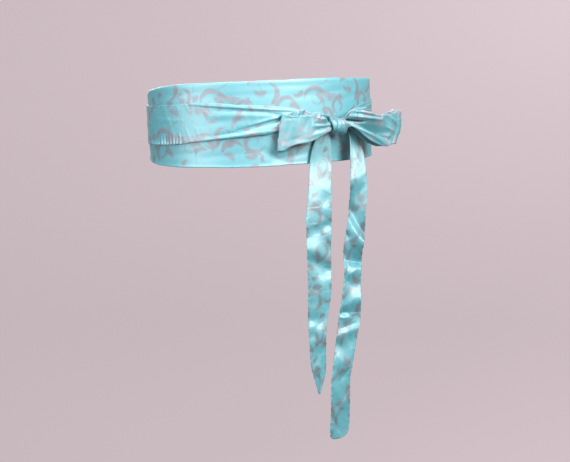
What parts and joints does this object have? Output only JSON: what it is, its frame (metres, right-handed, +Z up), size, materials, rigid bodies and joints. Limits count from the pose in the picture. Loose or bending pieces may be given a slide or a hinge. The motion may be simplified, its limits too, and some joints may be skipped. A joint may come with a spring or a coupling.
{
  "type": "satin sash",
  "caption": "Wide satin waist sash worn round the waist: a flat panel, ties crossed at the back and tied at the front in a bow with hanging ends.",
  "frame": {"origin": "middle of the waist ring, at the mid height of the waist panel", "axes": "+Z up, -Y the front with the bow, +X the wearer's left, which is on the right as the front is seen"},
  "size_m": [0.2784, 0.2261, 0.4075],
  "materials": {
    "panel_satin": "aqua satin with a scattered grey-rose print of curled strokes, turned edges, soft sheen",
    "tie_satin": "the same aqua printed satin, lighter and softly creased"
  },
  "bodies": {
    "root": {"panel": "panel_satin", "tie_left": "tie_satin", "tie_right": "tie_satin", "knot": "tie_satin", "loop_left": "tie_satin", "loop_right": "tie_satin", "tail_left": "tie_satin", "tail_right": "tie_satin"}
  },
  "joints": []
}
